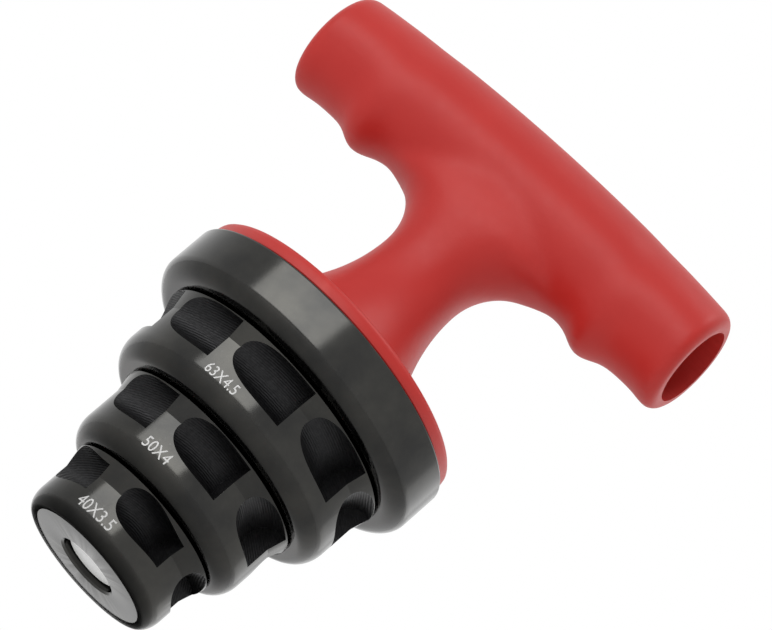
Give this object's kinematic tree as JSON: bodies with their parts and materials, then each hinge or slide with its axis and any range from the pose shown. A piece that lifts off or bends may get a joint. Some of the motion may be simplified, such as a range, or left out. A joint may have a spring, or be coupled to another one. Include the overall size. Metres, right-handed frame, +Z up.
{
  "type": "deburring tool",
  "caption": "T-handled calibrating and deburring tool: stepped steel cutting rings and a collar clamped to a hollow-bar plastic grip.",
  "frame": {"origin": "centre of the nose face, on which the tool stands", "axes": "+Z up the tool's axis from the nose to the handle, +X along the crossbar"},
  "size_m": [0.098, 0.0662, 0.1249],
  "materials": {
    "red_plastic": "satin moulded red plastic with a fine texture",
    "black_steel": "hardened and black-oxidised tool steel, ground lands, milled pockets",
    "bright_steel": "bright turned steel",
    "screw_steel": "plain hardened steel",
    "brass": "turned brass"
  },
  "bodies": {
    "root": {"handle": "red_plastic", "nose_plug": "bright_steel", "ring_40": "black_steel", "ring_50": "black_steel", "ring_63": "black_steel", "collar": "black_steel", "clamp_screw": "screw_steel", "lock_washer": "screw_steel", "neck_insert": "bright_steel", "dowel_40_50_1": "screw_steel", "dowel_40_50_2": "screw_steel", "dowel_50_63_1": "screw_steel", "dowel_50_63_2": "screw_steel", "dowel_63_collar_1": "screw_steel", "dowel_63_collar_2": "screw_steel", "collar_screw_1": "screw_steel", "collar_screw_2": "screw_steel", "collar_screw_3": "screw_steel", "insert_1": "brass", "insert_2": "brass", "insert_3": "brass"}
  },
  "joints": []
}
